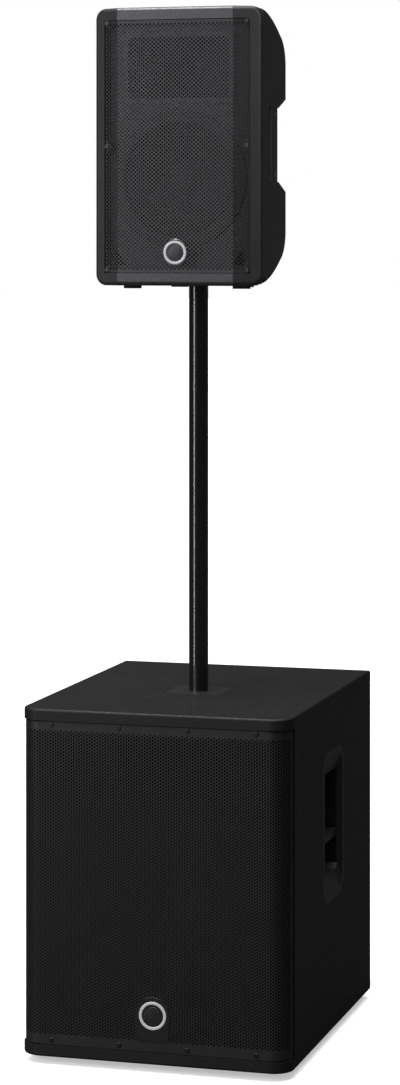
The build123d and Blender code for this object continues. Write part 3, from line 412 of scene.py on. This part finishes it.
def dress_nodes(materials):
    """Gives every CAD node the material of its slot in the record."""
    slots = {part["node"]: part["material_slot"] for part in frame["record"]["subparts"]}
    for name, node in nodes.items():
        chosen = materials[OWN_MATERIAL.get(name, slots[name])]
        for index in range(len(node.material_slots)):
            node.material_slots[index].material = chosen


def soften(width_mm, segments, *names):
    """Rounds the sharp edges of CAD nodes with modifiers."""
    for name in names:
        node = nodes[name]
        weld = node.modifiers.new("weld", "WELD")
        weld.merge_threshold = 1e-5
        bevelled(node, width_mm, segments)


# ================= Mesh helpers =================

def add_mesh(name, vertices, faces, material, smooth=False):
    data = bpy.data.meshes.new(name)
    data.from_pydata([tuple(v) for v in vertices], [], [tuple(f) for f in faces])
    data.update()
    if smooth:
        data.polygons.foreach_set("use_smooth", [True] * len(data.polygons))
    piece = bpy.data.objects.new(name, data)
    bpy.context.scene.collection.objects.link(piece)
    data.materials.append(material)
    return piece


def bevelled(piece, width_mm, segments=2, angle=38):
    bevel = piece.modifiers.new("bevel", "BEVEL")
    bevel.width = width_mm * MM
    bevel.segments = segments
    bevel.limit_method = "ANGLE"
    bevel.angle_limit = math.radians(angle)
    bevel.harden_normals = True
    return piece


def finish_piece(piece, body, slot, *replaced):
    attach(piece, body)
    if replaced:
        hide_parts(*replaced)
    return piece


def lathe(name, profile, place, direction, material, steps=64):
    """Turns a closed profile of (radius, height) in mm about an axis through place along direction."""
    axis = Vector(direction).normalized()
    side = axis.orthogonal().normalized()
    up = axis.cross(side)
    rows = len(profile)
    vertices, faces = [], []
    for k in range(steps):
        angle = 2 * math.pi * k / steps
        ray = side * math.cos(angle) + up * math.sin(angle)
        vertices += [Vector(place) + ray * (r * MM) + axis * (h * MM) for r, h in profile]
    for k in range(steps):
        a, b = k * rows, ((k + 1) % steps) * rows
        for i in range(rows):
            j = (i + 1) % rows
            faces.append([a + i, a + j, b + j, b + i])
    piece = add_mesh(name, vertices, faces, material)
    tidy_mesh(piece)
    return piece


def tidy_mesh(piece, distance=1e-6):
    """Merges doubled vertices, drops empty faces and turns the normals outward."""
    mesh = bmesh.new()
    mesh.from_mesh(piece.data)
    bmesh.ops.remove_doubles(mesh, verts=mesh.verts, dist=distance)
    bmesh.ops.dissolve_degenerate(mesh, edges=mesh.edges, dist=distance)
    bmesh.ops.recalc_face_normals(mesh, faces=mesh.faces)
    mesh.to_mesh(piece.data)
    mesh.free()


def smooth_by_angle(piece, degrees=35):
    data = piece.data
    data.polygons.foreach_set("use_smooth", [True] * len(data.polygons))
    data.set_sharp_from_angle(angle=math.radians(degrees))


def joined(name, pieces, material=None):
    """Joins mesh objects that have no modifiers into one piece."""
    mesh = bmesh.new()
    for piece in pieces:
        part = piece.data.copy()
        part.transform(piece.matrix_world)
        mesh.from_mesh(part)
        bpy.data.meshes.remove(part)
    data = bpy.data.meshes.new(name)
    mesh.to_mesh(data)
    mesh.free()
    for m in pieces[0].data.materials:
        data.materials.append(material or m)
    for piece in pieces:
        bpy.data.objects.remove(piece)
    whole = bpy.data.objects.new(name, data)
    bpy.context.scene.collection.objects.link(whole)
    return whole


def applied(piece):
    """Turns a piece's modifiers into mesh."""
    bpy.context.view_layer.update()
    graph = bpy.context.evaluated_depsgraph_get()
    data = bpy.data.meshes.new_from_object(piece.evaluated_get(graph))
    piece.modifiers.clear()
    piece.data = data
    return piece


def prism(name, outline, place, across, up, depth, material):
    """An outline of (a, b) in mm, drawn along across and up, pulled out by depth mm."""
    across, up = Vector(across), Vector(up)
    out = across.cross(up)
    place = Vector(place)
    near = [place + across * (a * MM) + up * (b * MM) for a, b in outline]
    far = [v + out * (depth * MM) for v in near]
    count = len(outline)
    faces = [list(range(count))[::-1], list(range(count, 2 * count))]
    faces += [[i, (i + 1) % count, count + (i + 1) % count, count + i] for i in range(count)]
    piece = add_mesh(name, near + far, faces, material)
    tidy_mesh(piece)
    return piece


# ================= Perforated sheets =================

def perforated_sheet(name, material, pitch_x, pitch_y, hole, corners, first_angle, length, low, high,
                     place, is_open, back=False):
    """A sheet with staggered holes, laid on a lattice and wrapped onto a surface.

    Each lattice site is a polygon; strips join facing sides and small polygons fill the junctions between
    three sites, so the land between the holes is one connected mesh. Closed sites get a face of their own.
    place(u, v, w) gives points at arc length u, height v and depth w, all in mm.
    """
    steps = [(0.5, -0.5), (0.5, 0.5), (0.0, 1.0), (-0.5, 0.5), (-0.5, -0.5), (0.0, -1.0)]
    sites_per_step = [(1, -1), (1, 0), (0, 1), (-1, 1), (-1, 0), (0, -1)]
    angles = np.radians(first_angle + 360.0 / corners * np.arange(corners))
    facing = []
    for a, b in steps:
        toward = math.atan2(b * pitch_y, a * pitch_x)
        gap = np.abs((angles - toward + math.pi) % (2 * math.pi) - math.pi)
        near = np.argsort(gap)[:2]
        first, second = sorted(near, key=lambda j: (angles[j] - toward + math.pi) % (2 * math.pi))
        facing.append((int(first), int(second)))

    columns = int(length / (pitch_x / 2)) + 6
    rows = int((high - low) / pitch_y) + 6
    half_c = columns // 2
    # site (r, q): u = r * pitch_x / 2, v = low + (q + r / 2) * pitch_y
    site = {}
    centres = []
    for r in range(-half_c, half_c + 1):
        for k in range(-2, rows):
            q = k - math.floor(r / 2)
            site[(r, q)] = len(centres)
            centres.append((r * pitch_x / 2, low + (q + r / 2) * pitch_y))
    centres = np.array(centres)
    ring = np.stack([np.cos(angles), np.sin(angles)], 1) * hole / 2
    points = (centres[:, None, :] + ring[None, :, :]).reshape(-1, 2)
    points[:, 0] = np.clip(points[:, 0], -length / 2, length / 2)
    points[:, 1] = np.clip(points[:, 1], low, high)

    faces = []
    for (r, q), s in site.items():
        around = []
        for dr, dq in sites_per_step[:3]:
            around.append(site.get((r + dr, q + dq)))
        here = s * corners
        if not is_open(*centres[s]):
            faces.append([here + j for j in range(corners)])
        for k in range(3):
            if around[k] is None:
                continue
            there = around[k] * corners
            lo, hi = facing[k]
            far_lo, far_hi = facing[k + 3]
            faces.append([here + lo, there + far_hi, there + far_lo, here + hi])
        for k in range(2):
            if around[k] is None or around[k + 1] is None:
                continue
            walk = []
            for base, arm in ((here, k), (around[k] * corners, k + 2), (around[k + 1] * corners, k + 4)):
                j = facing[(arm + 1) % 6][0]
                stop = facing[arm % 6][1]
                walk.append(base + j)
                while j != stop:
                    j = (j - 1) % corners
                    walk.append(base + j)
            faces.append(walk)

    # merge the clamped vertices and drop what has no area
    keys, index = np.unique(np.round(points, 4), axis=0, return_inverse=True)
    index = index.reshape(-1)
    kept = []
    for face in faces:
        loop = []
        for vertex in (int(index[v]) for v in face):
            if not loop or loop[-1] != vertex:
                loop.append(vertex)
        while len(loop) > 1 and loop[0] == loop[-1]:
            loop.pop()
        if len(loop) < 3 or len(set(loop)) < len(loop):
            continue
        x, y = keys[loop, 0], keys[loop, 1]
        if abs(np.dot(x, np.roll(y, -1)) - np.dot(y, np.roll(x, -1))) < 1e-3:
            continue
        kept.append(loop)

    used = np.unique(np.concatenate([np.array(loop) for loop in kept]))
    renumber = np.full(len(keys), -1)
    renumber[used] = np.arange(len(used))
    flat = keys[used]
    kept = [[int(renumber[v]) for v in loop] for loop in kept]
    count = len(flat)
    owners = {}
    for loop in kept:
        for a, b in zip(loop, loop[1:] + loop[:1]):
            owners[(a, b)] = owners.get((a, b), 0) + 1
    walls = [[b, a, a + count, b + count] for (a, b) in owners if (b, a) not in owners]
    everything = kept + walls
    if back:
        everything += [[v + count for v in reversed(loop)] for loop in kept]
    vertices = np.concatenate([place(flat[:, 0], flat[:, 1], 0.0), place(flat[:, 0], flat[:, 1], 1.0)]) * MM
    return add_mesh(name, vertices.tolist(), everything, material)


def sub_grille(materials):
    """The subwoofer's sheet: holes staggered at 60 degrees, bent round both front corners."""
    low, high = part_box("sub_grille")
    screws = screw_centres("sub_grille_screws")
    face_y, side_x = low.y / MM, high.x / MM
    bottom, top = low.z / MM, high.z / MM
    back_y = high.y / MM
    radius, sheet = 33.5, 1.5
    straight = side_x - radius
    turn = math.acos(1 - (back_y - face_y) / radius) if back_y - face_y < radius else math.pi / 2
    length = 2 * (straight + radius * turn)

    def place(u, v, w):
        depth = w * sheet
        beyond = np.maximum(np.abs(u) - straight, 0.0) / radius
        x = np.sign(u) * (np.minimum(np.abs(u), straight) + (radius - depth) * np.sin(beyond))
        y = face_y + radius - (radius - depth) * np.cos(beyond)
        return np.stack([x, y, v], 1)

    def is_open(u, v):
        if abs(u) > length / 2 - 8.0 or v > top - 15.0 or v < bottom + 17.0:
            return False
        return all(math.hypot(u - x, v - z) > 9.0 for x, z in screws)

    piece = perforated_sheet("sub_grille_perforated", materials["grille_steel"], 9.5, 5.45, 4.3, 6, 0.0,
                             length, bottom, top, place, is_open)
    return finish_piece(piece, "root", "grille_steel", "sub_grille")


def speaker_grille(materials):
    """The speaker's sheet: holes in a diagonal square pattern, folded along the two creases."""
    low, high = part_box("speaker_grille")
    screws = screw_centres("speaker_grille_screws")
    face_y, side_x = low.y / MM, high.x / MM
    bottom, top = low.z / MM, high.z / MM
    crease, sheet = 106.0, 1.3
    slope = math.atan2(22.0, 153.0 - crease)
    length = 2 * (crease + (side_x - crease) / math.cos(slope))

    def place(u, v, w):
        beyond = np.maximum(np.abs(u) - crease, 0.0)
        x = np.sign(u) * (np.minimum(np.abs(u), crease) + beyond * math.cos(slope))
        y = face_y + beyond * math.sin(slope) + w * sheet
        return np.stack([x, y, v], 1)

    def is_open(u, v):
        if abs(u) > length / 2 - 3.5 or v > top - 4.5 or v < bottom + 4.5:
            return False
        return all(math.hypot(abs(u) - crease - (abs(x) - crease) / math.cos(slope), v - z) > 8.0
                   for x, z in screws)

    piece = perforated_sheet("speaker_grille_perforated", materials["top_grille_steel"], 7.7, 6.95, 4.0, 8,
                             22.5, length, bottom, top, place, is_open, back=True)
    return finish_piece(piece, "speaker", "top_grille_steel", "speaker_grille")


def group_boxes(node):
    """Lowest and highest corners of each loose part of a CAD node, in the order of the node's vertices."""
    mesh = bmesh.new()
    mesh.from_mesh(nodes[node].data)
    bmesh.ops.remove_doubles(mesh, verts=mesh.verts, dist=1e-6)
    seen, found = set(), []
    for seed in mesh.verts:
        if seed in seen:
            continue
        seen.add(seed)
        stack, group = [seed], []
        while stack:
            vertex = stack.pop()
            group.append(vertex.co.copy())
            for edge in vertex.link_edges:
                other = edge.other_vert(vertex)
                if other not in seen:
                    seen.add(other)
                    stack.append(other)
        found.append((Vector([min(p[i] for p in group) for i in range(3)]),
                      Vector([max(p[i] for p in group) for i in range(3)])))
    mesh.free()
    return found


def screw_centres(node):
    """Centres (x, z) in mm of the screws that a CAD node groups."""
    return [((low.x + high.x) / 2 / MM, (low.z + high.z) / 2 / MM) for low, high in group_boxes(node)]


# ================= Badges =================

def arc_points(cx, cz, radius, start, end, count):
    angles = [math.radians(start + (end - start) * k / count) for k in range(count + 1)]
    return [(cx + radius * math.cos(a), cz + radius * math.sin(a)) for a in angles]


def ring_and_dome(name, body, front, ring_r, ring, dome, materials, ring_steps, dome_steps):
    """A white ring and a low dark dome at front; their profiles are (inset from the ring's rim, height) in mm."""
    for part, profile, slot, steps in (("ring", ring, "badge_white", ring_steps),
                                       ("centre", dome, "amp_plate", dome_steps)):
        points = [(ring_r - inset if inset is not None else 0, height) for inset, height in profile]
        piece = lathe(f"{name}_{part}", points, front, (0, -1, 0), materials[slot], steps)
        smooth_by_angle(piece)
        finish_piece(piece, body, "badge")


def sub_badge(materials):
    """Plain backing plate with a round top, and a plain white ring; no mark."""
    low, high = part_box("sub_badge")
    bottom = low.z / MM
    half, chamfer, plate_t = 28.5, 4, 1.2
    ring_z, ring_r = 98.0, 24.4
    outline = [(-half, bottom + chamfer), (-half + chamfer, bottom), (half - chamfer, bottom),
               (half, bottom + chamfer)]
    outline += arc_points(0, ring_z + 2, half + 1.5, 0, 180, 28)
    plate = prism("sub_badge_plate", outline, (0, high.y, 0), (1, 0, 0), (0, 0, 1), plate_t,
                  materials["badge"])
    bevelled(plate, 0.4)
    finish_piece(plate, "root", "badge", "sub_badge")
    front = (0, (high.y / MM - plate_t) * MM, ring_z * MM)
    ring = [(5.3, 0), (4.9, 0.8), (4.2, 1.05), (0.9, 1.05), (0.3, 0.8), (0, 0)]
    dome = [(None, 0), (9.0, 0), (9.6, 0.55), (13.0, 0.85), (None, 1.0)]
    ring_and_dome("sub_badge", "root", front, ring_r, ring, dome, materials, 72, 64)


def speaker_badge(materials):
    """Plain backing disc and a plain white ring; no mark."""
    low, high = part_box("speaker_badge")
    middle = (low + high) / 2
    radius = (high.x - low.x) / 2 / MM
    ring_r, disc_t = radius - 3.0, 1.2
    profile = [(0, 0), (radius, 0), (radius, disc_t - 0.35), (radius - 0.4, disc_t), (0, disc_t)]
    disc = lathe("speaker_badge_disc", profile, (middle.x, high.y, middle.z), (0, -1, 0), materials["badge"], 64)
    smooth_by_angle(disc)
    finish_piece(disc, "speaker", "badge", "speaker_badge")
    front = (middle.x, high.y - disc_t * MM, middle.z)
    ring = [(5.0, 0), (4.6, 0.85), (4.0, 1.1), (0.9, 1.1), (0.3, 0.85), (0, 0)]
    dome = [(None, 0), (8.0, 0), (8.6, 0.55), (12.0, 0.85), (None, 1.0)]
    ring_and_dome("speaker_badge", "speaker", front, ring_r, ring, dome, materials, 64, 56)


# ================= Screws with drives =================

def screw_head(place, direction, radius, rise, material):
    """A countersunk head with a cross recess; its rim is at place."""
    profile = [(0, -2.2), (radius * 0.55, -2.2), (radius, -0.25), (radius, 0.0), (radius * 0.8, rise * 0.6),
               (0, rise)]
    head = lathe("head", profile, place, direction, material, 32)
    axis = Vector(direction).normalized()
    side = axis.orthogonal().normalized()
    for turn in (0, 90):
        arm = side if turn == 0 else axis.cross(side)
        other = axis.cross(arm)
        reach, half = radius * 0.55, radius * 0.12
        outline = [(-reach, -half), (reach, -half), (reach, half), (-reach, half)]
        start = Vector(place) - axis * (0.9 * MM)
        cutter = prism("cutter", outline, start, arm, other, 3.0, material)
        cut = head.modifiers.new("cut", "BOOLEAN")
        cut.operation = "DIFFERENCE"
        cut.solver = "EXACT"
        cut.object = cutter
        applied(head)
        bpy.data.objects.remove(cutter)
    return head


def finish_heads(name, heads, body, slot, replaced):
    piece = joined(name, heads)
    smooth_by_angle(piece)
    finish_piece(piece, body, slot, replaced)


def driven_screws(materials):
    """Heads for the screws that the solids show as plain shanks."""
    black, bright = materials["black_screw"], materials["bright_screw"]
    heads = []
    for low, high in group_boxes("sub_handle_screws"):
        side = 1 if low.x > 0 else -1
        tip = high.x if side > 0 else low.x
        place = (tip, (low.y + high.y) / 2, (low.z + high.z) / 2)
        heads.append(screw_head(place, (side, 0, 0), 4.0, 0.3, black))
    finish_heads("sub_handle_screw_heads", heads, "root", "black_screw", "sub_handle_screws")

    heads = []
    for low, high in group_boxes("sub_socket_screws"):
        place = ((low.x + high.x) / 2, (low.y + high.y) / 2, high.z)
        heads.append(screw_head(place, (0, 0, 1), 4.0, 0.35, black))
    finish_heads("sub_socket_screw_heads", heads, "root", "black_screw", "sub_socket_screws")

    heads = []
    for low, high in group_boxes("speaker_handle_screws"):
        place = (low.x, (low.y + high.y) / 2, (low.z + high.z) / 2)
        heads.append(screw_head(place, (1, 0, 0), 3.8, 0.35, bright))
    finish_heads("speaker_handle_screw_heads", heads, "speaker", "bright_screw", "speaker_handle_screws")


# ================= Rear panel details =================

def dial_marks(name, node, body, materials, radius):
    """Printed ticks round a knob, from the lower left to the lower right."""
    low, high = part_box(node)
    middle = (low + high) / 2
    plate_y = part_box("sub_amp_plate" if body == "root" else "speaker_amp_plate")[1].y
    ticks = []
    for k in range(11):
        angle = math.radians(-150 + 30 * k)
        out = Vector((math.sin(angle), 0, math.cos(angle)))
        side = Vector((math.cos(angle), 0, -math.sin(angle)))
        start = Vector((middle.x, plate_y, middle.z)) + out * (radius * MM)
        size = 3.4 if k in (0, 5, 10) else 2.2
        outline = [(-0.35, 0), (0.35, 0), (0.35, size), (-0.35, size)]
        ticks.append(prism("tick", outline, start, -side, out, 0.06, materials["badge_white"]))
    piece = joined(name, ticks)
    return finish_piece(piece, body, "amp_plate")


def knob_pointer(name, node, body, materials):
    """White line in the knob's groove."""
    low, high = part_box(node)
    middle = (low + high) / 2
    radius = (high.z - low.z) / 2 / MM
    outline = [(-0.42, radius * 0.18), (0.42, radius * 0.18), (0.42, radius * 0.92), (-0.42, radius * 0.92)]
    place = (middle.x, high.y - 0.36 * MM, middle.z)
    piece = prism(name, outline, place, (-1, 0, 0), (0, 0, 1), 0.22, materials["badge_white"])
    return finish_piece(piece, body, "knob_plastic")


# ================= Stage =================

def camera_ray_mix(tree, unseen, seen, output):
    """Shows the camera one shader and every other ray the other, so that white surroundings light nothing."""
    path = tree.nodes.new("ShaderNodeLightPath")
    mix = tree.nodes.new("ShaderNodeMixShader")
    tree.links.new(path.outputs["Is Camera Ray"], mix.inputs["Fac"])
    tree.links.new(unseen, mix.inputs[1])
    tree.links.new(seen, mix.inputs[2])
    tree.links.new(mix.outputs["Shader"], tree.nodes[output].inputs["Surface"])


def make_stage():
    floor_paint = Paint("floor_paint")
    cloud = floor_paint.noise(3.0, 3.0)
    floor_paint.colour(floor_paint.blend(floor_paint.spread(cloud, 0.3, 0.7), (0.88, 0.88, 0.88),
                                         (0.90, 0.90, 0.90)))
    floor_paint.rough(0.8)
    floor_paint.put(Emission_Color=(1, 1, 1, 1), Emission_Strength=0.45)
    tree = floor_paint.tree
    shade = tree.nodes.new("ShaderNodeBsdfDiffuse")
    shade.inputs["Color"].default_value = (0.05, 0.05, 0.052, 1)
    camera_ray_mix(tree, shade.outputs["BSDF"], floor_paint.shader.outputs["BSDF"], "Material Output")
    size = 60.0
    floor = add_mesh("floor", [(-size, -size, 0), (size, -size, 0), (size, size, 0), (-size, size, 0)],
                     [(0, 1, 2, 3)], floor_paint.material)


def area_light(name, place, target, width, height, power, tint=(1, 1, 1)):
    data = bpy.data.lights.new(name, "AREA")
    data.shape = "RECTANGLE"
    data.size, data.size_y = width, height
    data.energy = power
    data.color = tint
    lamp = bpy.data.objects.new(name, data)
    lamp.location = place
    lamp.rotation_euler = (Vector(target) - Vector(place)).to_track_quat("-Z", "Y").to_euler()
    bpy.context.scene.collection.objects.link(lamp)
    return lamp


def sun_light(name, direction, strength, angle):
    data = bpy.data.lights.new(name, "SUN")
    data.energy = strength
    data.angle = math.radians(angle)
    lamp = bpy.data.objects.new(name, data)
    lamp.rotation_euler = Vector(direction).to_track_quat("-Z", "Y").to_euler()
    bpy.context.scene.collection.objects.link(lamp)
    return lamp


def make_lights():
    world = bpy.data.worlds.new("studio")
    bpy.context.scene.world = world
    world.use_nodes = True
    tree = world.node_tree
    backdrop = tree.nodes["Background"]
    backdrop.inputs["Color"].default_value = (1, 1, 1, 1)
    backdrop.inputs["Strength"].default_value = 1.0
    dim = tree.nodes.new("ShaderNodeBackground")
    dim.inputs["Color"].default_value = (0.95, 0.97, 1.0, 1)
    dim.inputs["Strength"].default_value = 0.06
    camera_ray_mix(tree, dim.outputs["Background"], backdrop.outputs["Background"], "World Output")
    sun_light("overhead", (0.05, 0.12, -1.0), 3.9, 70)
    area_light("key", (-2.4, -4.6, 2.6), (0.0, 0.0, 1.3), 1.6, 1.6, 118, (0.94, 0.94, 1.0))
    area_light("strip", (-2.5, -3.2, 1.0), (0.0, 0.0, 1.0), 0.20, 2.6, 42, (0.97, 0.97, 1.0))
    side = area_light("side", (4.2, -0.6, 2.2), (0.0, 0.0, 0.9), 1.2, 1.6, 12)
    side.visible_glossy = False
    edge = area_light("edge", (-0.5, -0.7, 4.2), (0.0, -0.3, 0.6), 1.4, 0.5, 120, (0.90, 0.95, 1.0))
    edge.visible_diffuse = False
    rim = area_light("rim", (2.6, -1.9, 2.7), (0.06, 0.0, 1.66), 0.25, 0.5, 0.8, (0.94, 0.96, 1.0))
    rim.data.spread = math.radians(30)
    rim.visible_diffuse = False


# ================= Build =================

def main():
    bpy.context.scene.view_settings.view_transform = "Standard"
    make_camera()
    make_stage()
    make_lights()
    materials = make_materials()
    dress_nodes(materials)
    sub_grille(materials)
    speaker_grille(materials)
    sub_badge(materials)
    speaker_badge(materials)
    driven_screws(materials)
    dial_marks("sub_level_marks", "sub_level_knob", "root", materials, 10.5)
    dial_marks("speaker_level_1_marks", "speaker_level_knob_1", "speaker", materials, 8.6)
    dial_marks("speaker_level_2_marks", "speaker_level_knob_2", "speaker", materials, 8.6)
    knob_pointer("sub_level_pointer", "sub_level_knob", "sub_level", materials)
    knob_pointer("speaker_level_1_pointer", "speaker_level_knob_1", "top_level_1", materials)
    knob_pointer("speaker_level_2_pointer", "speaker_level_knob_2", "top_level_2", materials)
    soften(0.6, 2, "sub_left_panel", "sub_right_panel", "sub_rear_panel")
    soften(0.5, 2, "sub_pole_socket", "sub_handle_left", "sub_handle_right", "speaker_horn", "speaker_feet",
           "speaker_amp_plate", "sub_amp_plate", "sub_power_inlet", "speaker_power_inlet", "pole_end_plugs")


main()
